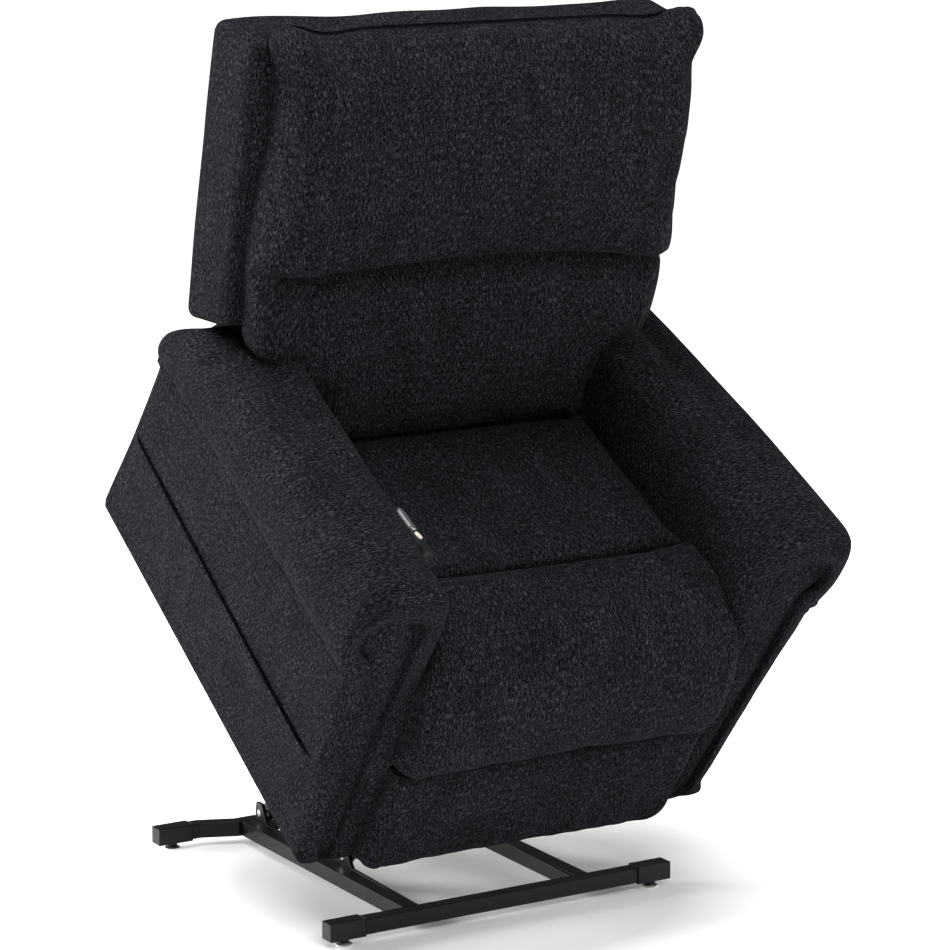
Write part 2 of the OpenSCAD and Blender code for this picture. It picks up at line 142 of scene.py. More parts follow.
# ---------------------------------------------------------------- meshes
def make(name, verts, faces, uvs=None, mats=(), smooth=True):
    me = bpy.data.meshes.new(name)
    me.from_pydata([tuple(v) for v in np.asarray(verts, float)], [], [tuple(int(i) for i in f) for f in faces])
    if uvs is not None:
        layer = me.uv_layers.new(name="Weave")
        layer.uv.foreach_set("vector", np.concatenate([np.asarray(u, float).reshape(-1, 2) for u in uvs]).astype(np.float32).ravel())
    ob = bpy.data.objects.new(name, me)
    bpy.context.scene.collection.objects.link(ob)
    for m in mats:
        me.materials.append(m)
    bm = bmesh.new()
    bm.from_mesh(me)
    bmesh.ops.recalc_face_normals(bm, faces=bm.faces)
    bm.to_mesh(me)
    bm.free()
    me.polygons.foreach_set("use_smooth", np.full(len(me.polygons), smooth))
    me.update()
    return ob


def lattice(a, b, c):
    """The outside of a block of a x b x c lines: vertices, quads that face out, and the grid of vertex numbers."""
    na, nb, nc = len(a), len(b), len(c)
    on = np.zeros((na, nb, nc), bool)
    on[[0, -1]] = on[:, [0, -1]] = on[:, :, [0, -1]] = True
    idx = -np.ones((na, nb, nc), int)
    idx[on] = np.arange(on.sum())
    at = np.argwhere(on)
    p = np.stack([np.asarray(a)[at[:, 0]], np.asarray(b)[at[:, 1]], np.asarray(c)[at[:, 2]]], 1)
    quads = []
    for sheet, turn in ((idx[0], True), (idx[-1], False), (idx[:, 0], False), (idx[:, -1], True), (idx[:, :, 0], True), (idx[:, :, -1], False)):
        q = np.stack([sheet[:-1, :-1], sheet[1:, :-1], sheet[1:, 1:], sheet[:-1, 1:]], -1).reshape(-1, 4)
        quads.append(q[:, ::-1] if turn else q)
    return p, np.concatenate(quads), idx


def weave(p, idx, swap=False):
    """Weave coordinates in metres, run along the surface: u across the grain, v along it. The last sheet of the block is
    its face, and the sides carry on from the face's edges. swap turns the grain a quarter."""
    face = p[idx[:, :, -1]]

    def run(g, axis):
        d = np.linalg.norm(np.diff(g, axis=axis), axis=2)
        r = np.concatenate([np.zeros_like(np.take(d, [0], axis)), np.cumsum(d, axis)], axis)
        return r - np.take(r, [r.shape[axis] // 2], axis)

    u, v = run(face, 0), run(face, 1)

    def deep(g):
        d = np.linalg.norm(np.diff(g[:, ::-1], axis=1), axis=2)
        return np.concatenate([np.zeros((len(g), 1)), np.cumsum(d, 1)], 1)[:, ::-1]

    nc = idx.shape[2]
    sheets = []
    for i, sign in ((0, -1), (-1, 1)):
        d = deep(p[idx[i]])
        sheets.append((u[i][:, None] + sign * d, np.repeat(v[i][:, None], nc, 1)))
    for j, sign in ((0, -1), (-1, 1)):
        d = deep(p[idx[:, j]])
        sheets.append((np.repeat(u[:, j][:, None], nc, 1), v[:, j][:, None] + sign * d))
    sheets += [(u, v), (u, v)]
    out = []
    for (uu, vv), turn in zip(sheets, (True, False, False, True, True, False)):
        w = np.stack([uu, vv] if not swap else [vv, uu], -1)
        q = np.stack([w[:-1, :-1], w[1:, :-1], w[1:, 1:], w[:-1, 1:]], 2).reshape(-1, 4, 2)
        out.append(q[:, ::-1] if turn else q)
    return np.concatenate(out) / 1000


def edged(lo, hi, edge, cell, k=5, extra=()):
    """Lines from lo to hi that crowd together within edge of both ends."""
    t = 1 - np.cos(np.linspace(0, math.pi / 2, k + 1))
    a = lo + edge * t
    b = hi - edge * t[::-1]
    mid = np.linspace(a[-1], b[0], max(2, int(round((b[0] - a[-1]) / cell)) + 1))[1:-1]
    got = np.unique(np.round(np.concatenate([a, mid, b, np.asarray(list(extra), float)]), 4))
    keep = [got[0]]
    for x in got[1:]:
        if x - keep[-1] > 0.0008 * (hi - lo):
            keep.append(x)
    keep[-1] = got[-1]
    return np.array(keep)


def round_box(p, h, r):
    h, r = np.asarray(h, float), np.asarray(r, float)
    core = np.clip(p, -(h - r), h - r)
    d = (p - core) / r
    n = np.linalg.norm(d, axis=1)
    k = np.abs(d).max(1)
    d = np.where(n[:, None] > 1e-9, d / np.maximum(n, 1e-9)[:, None], d) * np.minimum(k, 1)[:, None]
    return core + r * d


def normals_of(p, quads):
    n = np.zeros_like(p)
    a, b, c, d = (p[quads[:, i]] for i in range(4))
    f = np.cross(c - a, d - b)
    for i in range(4):
        np.add.at(n, quads[:, i], f)
    return n / np.maximum(np.linalg.norm(n, axis=1), 1e-9)[:, None]


def outward(p, quads):
    """Normals that point out of a closed form."""
    n = normals_of(p, quads)
    v = np.einsum("ij,ij->i", p[quads[:, 0]], np.cross(p[quads[:, 1]], p[quads[:, 2]])).sum()
    v += np.einsum("ij,ij->i", p[quads[:, 0]], np.cross(p[quads[:, 2]], p[quads[:, 3]])).sum()
    return n if v > 0 else -n


def soften(ob, levels=1):
    m = ob.modifiers.new("round", "SUBSURF")
    m.levels = levels
    m.render_levels = levels
    return ob


def inflate(ob, pressure, cap, pins=None, frames=20, loose=0.0, stiff=20.0, bend=1.2):
    """Swells a closed mesh with air like a stuffed cover. pins is a weight for each vertex, and cap the furthest a point goes, in metres."""
    me = ob.data
    rest = np.zeros(len(me.vertices) * 3, np.float32)
    me.vertices.foreach_get("co", rest)
    rest = rest.reshape(-1, 3).astype(float)
    scene = bpy.context.scene
    cloth = ob.modifiers.new("swell", "CLOTH")
    s = cloth.settings
    s.quality = 6
    s.mass = 0.35
    s.tension_stiffness = stiff
    s.compression_stiffness = stiff
    s.shear_stiffness = stiff * 0.4
    s.bending_stiffness = bend
    s.tension_damping = s.compression_damping = s.shear_damping = 12
    s.air_damping = 2.0
    s.use_pressure = True
    s.uniform_pressure_force = pressure
    s.effector_weights.gravity = 0
    s.shrink_min = -loose
    cloth.collision_settings.use_collision = False
    cloth.collision_settings.use_self_collision = False
    if pins is not None:
        g = ob.vertex_groups.new(name="held")
        for w in sorted(set(np.round(pins, 2))):
            if w > 0:
                g.add([int(i) for i in np.nonzero(np.round(pins, 2) == w)[0]], float(w), "REPLACE")
        s.vertex_group_mass = "held"
        s.pin_stiffness = 1.0
    cloth.point_cache.frame_start = 1
    cloth.point_cache.frame_end = frames
    for f in range(1, frames + 1):
        scene.frame_set(f)
    dg = bpy.context.evaluated_depsgraph_get()
    got = ob.evaluated_get(dg)
    now = np.zeros(len(got.data.vertices) * 3, np.float32)
    got.data.vertices.foreach_get("co", now)
    now = now.reshape(-1, 3).astype(float)
    ob.modifiers.remove(cloth)
    if pins is not None:
        ob.vertex_groups.clear()
    scene.frame_set(1)
    d = now - rest
    far = np.linalg.norm(d, axis=1)
    d *= (np.minimum(far, cap) / np.maximum(far, 1e-9))[:, None]
    me.vertices.foreach_set("co", (rest + d).astype(np.float32).ravel())
    me.update()
    return far


def put(ob, body, replaces=()):
    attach(ob, body)
    if replaces:
        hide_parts(*replaces)
    return ob


# ---------------------------------------------------------------- materials
class Nodes:
    def __init__(self, name):
        self.mat = bpy.data.materials.new(name)
        self.mat.use_nodes = True
        self.t = self.mat.node_tree
        self.t.nodes.clear()
        self.out = self.add("ShaderNodeOutputMaterial")
        self.b = self.add("ShaderNodeBsdfPrincipled")
        self.link(self.b.outputs["BSDF"], self.out.inputs["Surface"])

    def add(self, kind, **props):
        n = self.t.nodes.new(kind)
        for k, v in props.items():
            setattr(n, k, v)
        return n

    def link(self, a, b):
        self.t.links.new(a, b)

    def coords(self, uv, scale, rot=(0, 0, 0)):
        if uv:
            src = self.add("ShaderNodeUVMap", uv_map="Weave").outputs["UV"]
        else:
            src = self.add("ShaderNodeTexCoord").outputs["Object"]
        m = self.add("ShaderNodeMapping")
        m.inputs["Scale"].default_value = scale
        m.inputs["Rotation"].default_value = rot
        self.link(src, m.inputs["Vector"])
        return m.outputs["Vector"]

    def noise(self, vec, scale=1.0, detail=2.0, rough=0.5, distort=0.0):
        n = self.add("ShaderNodeTexNoise")
        self.link(vec, n.inputs["Vector"])
        n.inputs["Scale"].default_value = scale
        n.inputs["Detail"].default_value = detail
        n.inputs["Roughness"].default_value = rough
        n.inputs["Distortion"].default_value = distort
        return n.outputs["Fac"]

    def ramp(self, fac, stops):
        n = self.add("ShaderNodeValToRGB")
        e = n.color_ramp.elements
        while len(e) < len(stops):
            e.new(0.5)
        for x, (pos, col) in zip(e, stops):
            x.position = pos
            x.color = (*col, 1) if not isinstance(col, (int, float)) else (col, col, col, 1)
        self.link(fac, n.inputs["Fac"])
        return n.outputs["Color"]

    def math(self, op, a, b=0.0, clamp=False):
        n = self.add("ShaderNodeMath", operation=op, use_clamp=clamp)
        for s, v in zip(n.inputs, (a, b)):
            if isinstance(v, (int, float)):
                s.default_value = v
            else:
                self.link(v, s)
        return n.outputs["Value"]

    def mix(self, fac, a, b, kind="MIX"):
        n = self.add("ShaderNodeMix", data_type="RGBA", blend_type=kind)
        for s, v in ((n.inputs[0], fac), (n.inputs[6], a), (n.inputs[7], b)):
            if isinstance(v, (int, float)):
                s.default_value = v
            elif isinstance(v, tuple):
                s.default_value = (*v, 1)
            else:
                self.link(v, s)
        return n.outputs[2]

    def bump(self, height, strength, distance, after=None):
        n = self.add("ShaderNodeBump")
        n.inputs["Strength"].default_value = strength
        n.inputs["Distance"].default_value = distance
        self.link(height, n.inputs["Height"])
        if after is not None:
            self.link(after, n.inputs["Normal"])
        return n.outputs["Normal"]

    def set(self, **values):
        for k, v in values.items():
            s = self.b.inputs[k.replace("_", " ")]
            if hasattr(v, "is_output"):
                self.link(v, s)
            else:
                s.default_value = v
        return self.mat


def fabric(name, dark, light):
    """Heathered chenille: lighter threads in short streaks along the grain, over a dark ground, with a napped surface."""
    m = Nodes(name)
    streak = m.noise(m.coords(True, (540, 105, 1)), 1.0, 2.0, 0.55)
    thread = m.noise(m.coords(True, (900, 210, 1)), 1.0, 1.0, 0.5)
    speck = m.noise(m.coords(True, (600, 500, 1)), 1.0, 2.0, 0.6)
    cord = m.noise(m.coords(True, (230, 9, 1)), 1.0, 1.0, 0.5)
    nap = m.noise(m.coords(True, (16, 11, 1)), 1.0, 2.0, 0.5, 0.6)
    s1 = m.ramp(streak, [(0.49, 0.0), (0.66, 1.0)])
    s2 = m.ramp(thread, [(0.46, 0.0), (0.68, 1.0)])
    s3 = m.ramp(speck, [(0.48, 0.0), (0.68, 1.0)])
    mixed = m.math("ADD", m.math("MULTIPLY", s1, 0.50), m.math("MULTIPLY", s2, 0.28))
    mixed = m.math("ADD", mixed, m.math("MULTIPLY", s3, 0.42))
    mixed = m.math("MULTIPLY", mixed, m.math("ADD", 0.45, m.math("MULTIPLY", cord, 1.05)), clamp=True)
    mixed = m.math("MULTIPLY", mixed, m.math("ADD", 0.70, m.math("MULTIPLY", nap, 0.60)), clamp=True)
    mixed = m.math("POWER", mixed, 1.4)
    colour = m.mix(mixed, dark, light)
    height = m.math("ADD", m.math("MULTIPLY", streak, 0.5), m.math("MULTIPLY", speck, 0.6))
    height = m.math("ADD", height, m.math("MULTIPLY", cord, 0.4))
    rough = m.math("ADD", 0.82, m.math("MULTIPLY", speck, 0.16))
    m.set(Base_Color=colour, Roughness=rough, Normal=m.bump(height, 0.5, 0.0010))
    m.set(Specular_IOR_Level=0.01, Sheen_Weight=0.004, Sheen_Roughness=0.5, Sheen_Tint=(0.80, 0.82, 0.95, 1.0))
    return m.mat


def coated(name, base, rough, speck=0.0, bump=0.12, scale=900, gloss=0.5):
    """Powder coat or moulded plastic: an even colour with fine orange peel and a little dust in it."""
    m = Nodes(name)
    fine = m.noise(m.coords(False, (scale, scale, scale)), 1.0, 2.0, 0.6)
    wide = m.noise(m.coords(False, (14, 14, 14)), 1.0, 3.0, 0.6)
    c = m.mix(m.math("MULTIPLY", wide, 0.8, True), tuple(x * 0.8 for x in base), tuple(x * 1.35 + speck for x in base))
    r = m.math("ADD", rough - 0.10, m.math("MULTIPLY", wide, 0.20))
    m.set(Base_Color=c, Roughness=r, Normal=m.bump(fine, bump, 0.0004), Specular_IOR_Level=gloss)
    return m.mat


def metal(name, base, rough, brushed=(40, 900, 900)):
    m = Nodes(name)
    fine = m.noise(m.coords(False, brushed), 1.0, 2.0, 0.6)
    wide = m.noise(m.coords(False, (30, 30, 30)), 1.0, 3.0, 0.6)
    c = m.mix(m.math("MULTIPLY", wide, 0.9, True), tuple(x * 0.72 for x in base), base)
    r = m.math("ADD", rough - 0.06, m.math("MULTIPLY", fine, 0.16))
    m.set(Base_Color=c, Metallic=1.0, Roughness=r, Normal=m.bump(fine, 0.06, 0.0003))
    return m.mat


def plywood(name):
    m = Nodes(name)
    grain = m.noise(m.coords(False, (9, 60, 60)), 1.0, 5.0, 0.6, 0.6)
    ply = m.noise(m.coords(False, (4, 420, 4)), 1.0, 1.0, 0.5)
    c = m.ramp(grain, [(0.30, (0.30, 0.19, 0.10)), (0.55, (0.47, 0.33, 0.19)), (0.75, (0.58, 0.43, 0.27))])
    c = m.mix(m.math("MULTIPLY", ply, 0.5, True), c, (0.33, 0.22, 0.12))
    m.set(Base_Color=c, Roughness=m.math("ADD", 0.55, m.math("MULTIPLY", grain, 0.2)), Normal=m.bump(grain, 0.25, 0.0006))
    return m.mat


CLOTH = fabric("charcoal_chenille", (0.0008, 0.0008, 0.0010), (0.0525, 0.0516, 0.0626))
BLACK_STEEL = coated("satin_black_coat", (0.0045, 0.0045, 0.005), 0.36, 0.001, gloss=0.20)
ZINC = metal("zinc_plate", (0.62, 0.63, 0.65), 0.30)
NICKEL = metal("nickel_plate", (0.86, 0.84, 0.80), 0.34, (60, 60, 60))
PLASTIC = coated("moulded_black", (0.006, 0.006, 0.0065), 0.46, 0.001, 0.35, 1400, 0.22)
SILVER = metal("silver_lacquer", (0.72, 0.74, 0.77), 0.34, (700, 700, 700))
CREAM = coated("cream_plastic", (0.70, 0.66, 0.56), 0.38, 0.0, 0.10, 1400)
WOOD = plywood("frame_plywood")
LINING = coated("black_lining", (0.006, 0.006, 0.007), 0.85, 0.001, 0.40, 1800, 0.05)

SLOT_MATS = {"black_steel": BLACK_STEEL, "zinc_steel": ZINC, "glide_metal": NICKEL, "black_plastic": PLASTIC,
             "silver_plastic": SILVER, "cream_plastic": CREAM, "frame_wood": WOOD, "charcoal_fabric": CLOTH}
for row in frame["record"]["subparts"]:
    ob = nodes[row["node"]]
    ob.data.materials.clear()
    ob.data.materials.append(SLOT_MATS[row["material_slot"]])
# the board under the legrest pad is wrapped in lining cloth
nodes["legrest_board"].data.materials[0] = LINING


def bevel(names, width, segments=2):
    """Small round edges on hard CAD pieces, so that they catch the light."""
    for n in names:
        ob = nodes[n]
        w = ob.modifiers.new("weld", "WELD")
        w.merge_threshold = 0.00002
        b = ob.modifiers.new("edges", "BEVEL")
        b.width = width
        b.segments = segments
        b.limit_method = "ANGLE"
        b.angle_limit = math.radians(38)
        b.use_clamp_overlap = True
        b.harden_normals = False


bevel(["base_end_caps"], 0.0026, 3)
bevel(["base_front_tube", "base_rear_tube", "base_rail_right", "base_rail_left"], 0.0022, 3)
bevel(["base_brackets", "carriage_plates", "rear_lift_link_right", "rear_lift_link_left", "front_lift_link_right",
       "front_lift_link_left", "frame_cross_bars", "legrest_brackets", "back_hinge_ears", "back_brackets"], 0.0009, 2)
bevel(["lift_motor", "legrest_motor", "recline_motor", "control_box"], 0.0025, 3)
bevel(["control_bezel", "recline_rocker", "lift_button"], 0.0014, 3)
bevel(["seat_side_rails", "seat_end_rails", "legrest_board"], 0.002, 2)

# ---------------------------------------------------------------- seat
def box_weave(p, idx):
    """Weave coordinates in metres of a plain block, face by face."""
    out = []
    for sheet, turn, axes in ((idx[0], True, [1, 2]), (idx[-1], False, [1, 2]), (idx[:, 0], False, [0, 2]), (idx[:, -1], True, [0, 2]),
                              (idx[:, :, 0], True, [0, 1]), (idx[:, :, -1], False, [0, 1])):
        w = p[sheet][:, :, axes]
        q = np.stack([w[:-1, :-1], w[1:, :-1], w[1:, 1:], w[:-1, 1:]], 2).reshape(-1, 4, 2)
        out.append(q[:, ::-1] if turn else q)
    return np.concatenate(out) / 1000


SEAM_Y = -230.0
TONGUE = table([(70, 0), (92, 1.5), (104, 5), (112, 11), (120, 21), (128, 30), (138, 37), (150, 43), (165, 49), (180, 55), (200, 63)])


def seat():
    a = edged(-266, 266, 30, 12, 7)
    b = np.concatenate([edged(SEAM_Y, 112, 26, 12, 6), [117, 122, 128, 135, 144, 155, 168, 182, 196]])
    c = np.linspace(0, 1, 7)
    p, quads, idx = lattice(a, b, c)
    x, y, k = p.T
    top = 476 - 0.112 * (y + 239) + 9 * np.sin(np.pi * np.clip((y + 232) / 346, 0, 1)) * (1 - (np.abs(x) / 266) ** 4)
    top -= drop(267 - np.abs(x), 26) * 0.85 + drop(y - SEAM_Y + 0.6, 9) + TONGUE(np.maximum(y, 70))
    low = 352 + step(104, 140, y) * (top - 9 - 352)
    q = np.stack([x, y, low + k * (top - low)], 1)
    n = outward(q, quads)
    soft = wob2(x, y, 130, 150, 3) * 2.0 + wob2(x, y, 46, 60, 5) * 0.6
    soft += bell(y - SEAM_Y, 30) * wob2(x, y, 24, 120, 7) * 1.3
    q += n * (soft * step(0.6, 1.0, k) * (1 - step(100, 116, y)))[:, None]
    ob = make("seat_cover", chair(q), quads, [weave(q, idx)], [CLOTH])
    inflate(ob, 4.0, 0.007, np.where((k > 0.99) & (y < 96), 0.0, 1.0), loose=0.02)
    soften(ob)
    put(ob, "chair", ["seat_cushion"])
    return ob


# outer and inner line of the front roll, from the seat seam over the knee to its lower edge
ROLL = [(-225.5, 452, -240, 434), (-226.8, 468, -245, 434), (-232, 481, -255, 435), (-250, 488, -267, 434), (-287, 490, -289, 430),
        (-322, 487, -314, 424), (-358, 477, -336, 414), (-390, 459, -354, 400), (-416, 432, -368, 382), (-434, 396, -374, 362),
        (-443, 352, -374, 338), (-444, 310, -373, 314), (-439, 277, -373, 296), (-428, 257, -373, 282), (-411, 249, -373, 270),
        (-394, 253, -374, 261)]


def roll():
    line = spline(ROLL, fine=8, coarse=9)
    run = along(line[:, :2])
    total = run[-1]
    a = edged(-1, 1, 0.13, 11 / 270, 10)
    p, quads, idx = lattice(a, np.arange(len(line)), np.linspace(0, 1, 7))
    ax, bi, k = p[:, 0], p[:, 1].astype(int), p[:, 2]
    s = run[bi]
    share, tail = s / total, total - s
    wide = 265.5 + 15 * step(0.33, 0.50, share) * (0.3 + 0.7 * step(0, 0.25, k))
    corner = np.where(ax > 0, 15 + 45 * k, 5 + 7 * k)
    wide = wide - drop(tail, corner) * 0.95
    x = ax * wide
    r = 13 + 22 * step(0.28, 0.52, share)
    o, i = line[bi, :2], line[bi, 2:]
    d = i - o
    length = np.linalg.norm(d, axis=1)
    d = d / length[:, None]
    fall = np.minimum(drop(wide - np.abs(x), r), length * 0.8)
    yz = o + d * (fall + (1 - k) * (length - fall))[:, None]
    q = np.stack([x, yz[:, 0], yz[:, 1]], 1)
    n = outward(q, quads)
    outer = step(0.45, 1.0, k)
    soft = 4.0 * (1 - np.abs(ax) ** 2.5) * np.sin(np.pi * np.clip(share * 1.05, 0, 1))
    soft += wob2(x, s, 150, 130, 11) * 2.2 + wob2(x, s, 50, 64, 13) * 0.7
    # gathers where the cover is drawn in round the ends, and small puckers along the seat seam
    for side, amount in ((-1, 3.4), (1, 1.4)):
        near = bell(x - side * 272, 34) * bell(share - 0.74, 0.16)
        soft += near * (np.sin((s + side * 0.55 * (x - side * 272)) / 5.2 + 1.1 * wob2(x, s, 40, 40, 15)) * amount)
    soft += bell(s, 24) * wob2(x, s, 20, 90, 17) * 1.2 + bell(tail - 12, 22) * wob2(x, s, 46, 90, 19) * 1.6
    q += n * (soft * outer)[:, None]
    ob = make("front_roll", chair(q), quads, [weave(q, idx)], [CLOTH])
    inflate(ob, 4.0, 0.007, np.where((k > 0.99) & (s > 6), 0.0, 1.0), loose=0.02)
    soften(ob)
    put(ob, "chair", ["front_bolster"])
    return ob


def legrest():
    a = edged(-1, 1, 0.12, 0.042, 9)
    b = edged(0, 1, 0.20, 0.05, 7)
    p, quads, idx = lattice(a, b, np.linspace(0, 1, 6))
    ax, bz, k = p.T
    z = 35 + bz * 211
    wide = 279 - drop(z - 34, np.where(ax > 0, 12 + 38 * k, 8 + 22 * k)) * 0.95 - drop(250 - z, 8) * 0.15
    x = ax * wide
    front = -424 - 4.0 * (1 - np.abs(ax) ** 3) * np.sin(np.pi * np.clip(bz, 0, 1))
    fall = np.minimum(drop(wide - np.abs(x), 20) + drop(z - 33, 15) * 0.95 + drop(247 - z, 15) * 0.95, 26)
    y = -387.4 + k * (front + fall + 387.4)
    q = np.stack([x, y, z], 1)
    n = outward(q, quads)
    soft = wob2(x, z, 120, 110, 21) * 1.7 + wob2(x, z, 44, 52, 23) * 0.6
    soft += bell(z - 38, 26) * wob2(x, z, 34, 80, 25) * 1.4
    q += n * (soft * step(0.4, 1.0, k))[:, None]
    ob = make("legrest_cover", chair(q), quads, [weave(q, idx)], [CLOTH])
    inflate(ob, 4.0, 0.005, np.where((k > 0.99) & (z < 236), 0.0, 1.0), loose=0.02)
    soften(ob)
    put(ob, "legrest", ["legrest_cushion"])
    return ob


# ---------------------------------------------------------------- back
# forward reach and height of the back cushion's front, with and without the fold under the head pillow
BACK_FOLD = [(110, 36), (136, 37), (154, 50), (163, 86), (167, 138), (168, 196), (167, 255), (160, 318), (148, 346), (128, 363),
             (133, 367), (155, 355), (177, 355), (192, 366), (199, 388), (202, 420), (203, 458), (201, 510), (195, 575), (185, 632),
             (170, 677), (151, 703), (131, 711), (112, 705)]
BACK_PLAIN = [(110, 36), (136, 37), (154, 50), (163, 86), (167, 138), (169, 196), (170, 255), (171, 314), (172, 338), (172, 351),
              (173, 359), (174, 366), (177, 373), (183, 384), (190, 402), (197, 426), (201, 458), (200, 510), (195, 575), (185, 632),
              (170, 677), (151, 703), (131, 711), (112, 705)]
WIDE_LEFT = table([(30, 256), (64, 261), (107, 267), (132, 284), (160, 316), (185, 344), (205, 357), (233, 367), (298, 376), (350, 376),
                   (400, 369), (450, 366), (500, 366), (600, 369), (650, 377), (685, 386), (705, 385), (718, 374)])
WIDE_RIGHT = table([(30, 256), (64, 260), (107, 265), (132, 281), (165, 310), (190, 337), (215, 354), (240, 361), (300, 366), (345, 369),
                    (400, 370), (450, 365), (500, 359), (560, 354), (620, 351), (650, 355), (680, 364), (700, 366), (718, 358)])


def back_cushion():
    line = spline(np.concatenate([BACK_FOLD, BACK_PLAIN], 1), fine=7, coarse=10)
    a = edged(-1, 1, 0.17, 11 / 370, 11)
    p, quads, idx = lattice(a, np.arange(len(line)), np.linspace(0, 1, 7))
    ax, bi, k = p[:, 0], p[:, 1].astype(int), p[:, 2]
    guess = ax * 374
    fold = 1 - 0.93 * step(296, 358, -guess) - 0.72 * step(300, 368, guess)
    u = line[bi, 0] * fold + line[bi, 2] * (1 - fold)
    v = line[bi, 1] * fold + line[bi, 3] * (1 - fold)
    # the fold hangs lower towards both ends
    v = v - np.where(guess < 0, 20, 36) * (np.abs(guess) / 345) ** 2.3 * bell(v - 366, 80)
    # ears at the upper corners, with a dip beside each
    v = v + step(630, 700, v) * (7 * bell(guess + 340, 26) - 6 * bell(guess + 272, 38) + 5 * bell(guess - 345, 24) - 4 * bell(guess - 285, 36))
    wide = np.where(ax > 0, WIDE_LEFT(v), WIDE_RIGHT(v))
    x = ax * wide
    r = 26 + 24 * step(150, 260, v)
    fall = np.minimum(drop(wide - np.abs(x), r), (u - 104) * 0.82)
    front = u - fall
    reach = 106 + k * (front - 106)
    q = np.stack([x, -reach, v], 1)
    n = outward(q, quads)
    outer = step(0.4, 1.0, k)
    crown = 5 * (1 - np.abs(ax) ** 2.2) * step(340, 420, v) * (1 - step(600, 705, v)) + 4 * (1 - np.abs(ax) ** 2) * step(60, 140, v) * (1 - step(250, 330, v))
    soft = crown + wob2(x, v, 150, 140, 31) * 2.8 + wob2(x, v, 55, 60, 33) * 0.9
    # drawn threads and little tucks along the top edge, and short pleats under the ends of the head pillow
    soft += step(650, 708, v) * (wob2(x, v, 30, 120, 35) * 2.6 + wob2(x + 0.6 * v, v, 70, 160, 36) * 2.2)
    for side, amount in ((-1, 2.2), (1, 1.2)):
        soft += bell(x - side * 305, 46) * bell(v - 341, 24) * np.sin((x * side + v * 0.4) / 8.0) * amount
        # the upper corners stand out as small ears, with a hollow below them
        soft += bell(x - side * 352, 26) * (bell(v - 696, 22) * 9 - bell(v - 640, 26) * 4)
        soft += bell(x - side * 330, 60) * bell(v - 700, 40) * np.sin(np.arctan2(718 - v, 372 - x * side) * 11) * 1.6
    q += n * (soft * outer)[:, None]
    ob = make("back_cover_front", back(q), quads, [weave(q, idx)], [CLOTH])
    held = np.maximum(np.where(k > 0.99, 0.0, 1.0), bell(line[bi, 1] - 364, 8) * (np.abs(guess) < 300))
    inflate(ob, 4.0, 0.008, np.where(held > 0.5, 1.0, 0.0), loose=0.02)
    soften(ob)
    put(ob, "backrest", ["head_cushion", "lumbar_cushion"])
    return ob


def back_shell():
    h = (394.0, 65.5, 228.0)
    a = edged(-h[0], h[0], 26, 15, 6)
    b = edged(-h[1], h[1], 26, 11, 7)
    c = edged(-h[2], h[2], 26, 15, 6)
    p, quads, idx = lattice(a, b, c)
    q = round_box(p, h, (16.0, 20.0, 20.0))
    # the lower edge climbs forward over the arm
    y = q[:, 1] - 40
    t = (q[:, 2] + h[2]) / (2 * h[2])
    foot = 213 - 0.267 * y
    v = foot + (691 - foot) * t
    narrow = 1 - 0.024 * (1 - step(205, 380, v)) * step(60, 394, q[:, 0]) - 0.006 * (1 - step(205, 420, v))
    q = np.stack([q[:, 0] * narrow, y, v], 1)
    n = outward(q, quads)
    x = q[:, 0]
    side = step(0.955, 1.0, np.abs(p[:, 0]) / h[0])
    top = step(0.94, 1.0, p[:, 2] / h[2])
    rear = step(0.7, 1.0, p[:, 1] / h[1])
    belly = np.sin(np.pi * np.clip((v - 213) / 478, 0, 1))
    soft = wob(q, (170, 90, 200), 41) * 2.2 + wob(q, (60, 50, 70), 43) * 0.6
    soft += side * (2.6 * belly * bell(p[:, 1] + 8, 44) - 1.2 * bell(p[:, 1] - 12, 3.5))
    soft += top * (wob2(x, y, 90, 60, 45) * 2.2 + 3.0 * bell(np.abs(x) - 340, 40))
    soft += rear * 4.0 * (1 - (x / 394) ** 2) * belly
    q += n * soft[:, None]
    ob = make("back_cover_outer", back(q), quads, [box_weave(p, idx)], [CLOTH])
    soften(ob)
    put(ob, "backrest", ["back_shell", "back_wings"])
    return ob


def back_lower():
    h = (248.0, 62.0, 112.0)
    a = edged(-h[0], h[0], 22, 18, 4)
    b = edged(-h[1], h[1], 20, 16, 4)
    c = edged(-h[2], h[2], 22, 18, 4)
    p, quads, idx = lattice(a, b, c)
    q = round_box(p, h, (14, 16, 14))
    q = q + [0, -37.5, 147]
    n = outward(q, quads)
    q += n * (wob(q, (120, 80, 120), 47) * 1.8)[:, None]
    ob = make("back_cover_lower", back(q), quads, [box_weave(p, idx)], [CLOTH])
    soften(ob)
    put(ob, "backrest", ["back_frame"])
    return ob


def back_apron():
    """Cloth apron under the back cushion, round the hinge line: tucked into the seat at rest, drawn out when the back reclines."""
    p, quads, idx = lattice(edged(-246, 246, 20, 16, 4), np.linspace(-18, 17, 14), np.linspace(0, 1, 3))
    x, turn, k = p.T
    out = 17 * (17 - turn) / 35
    turn = np.radians(turn)
    r = 139 + out + 8 * k + wob2(x, turn * 148, 60, 40, 81) * 0.8 * k
    q = np.stack([x, -r * np.cos(turn), r * np.sin(turn)], 1)
    ob = make("back_apron", back(q), quads, [weave(q, idx)], [CLOTH])
    soften(ob)
    put(ob, "backrest")
    return ob


